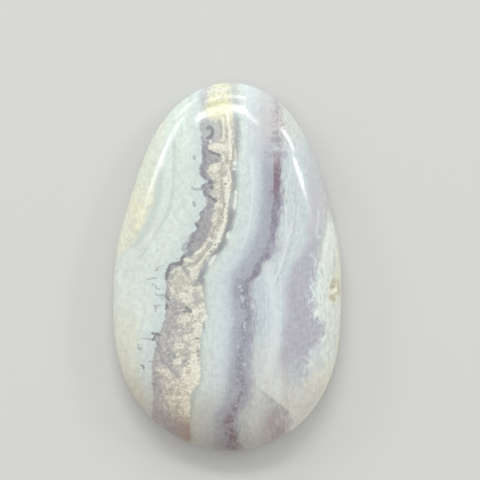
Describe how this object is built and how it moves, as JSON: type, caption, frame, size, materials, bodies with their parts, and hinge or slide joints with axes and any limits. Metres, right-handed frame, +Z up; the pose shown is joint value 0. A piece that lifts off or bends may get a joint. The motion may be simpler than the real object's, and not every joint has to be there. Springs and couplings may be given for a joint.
{
  "type": "chalcedony cabochon",
  "caption": "Egg-shaped chalcedony cabochon with a polished low dome, a thin girdle and a flat bevelled back, banded in pale blue, grey and cream.",
  "frame": {"origin": "on the flat back, under the middle of the stone's box", "axes": "+Z up out of the dome, +Y towards the narrow end, +X to the right when the dome faces the viewer and the narrow end is up"},
  "size_m": [0.0248, 0.04, 0.0066],
  "materials": {
    "chalcedony": "high polish, translucent, banded"
  },
  "bodies": {
    "root": {"cabochon": "chalcedony"}
  },
  "joints": []
}
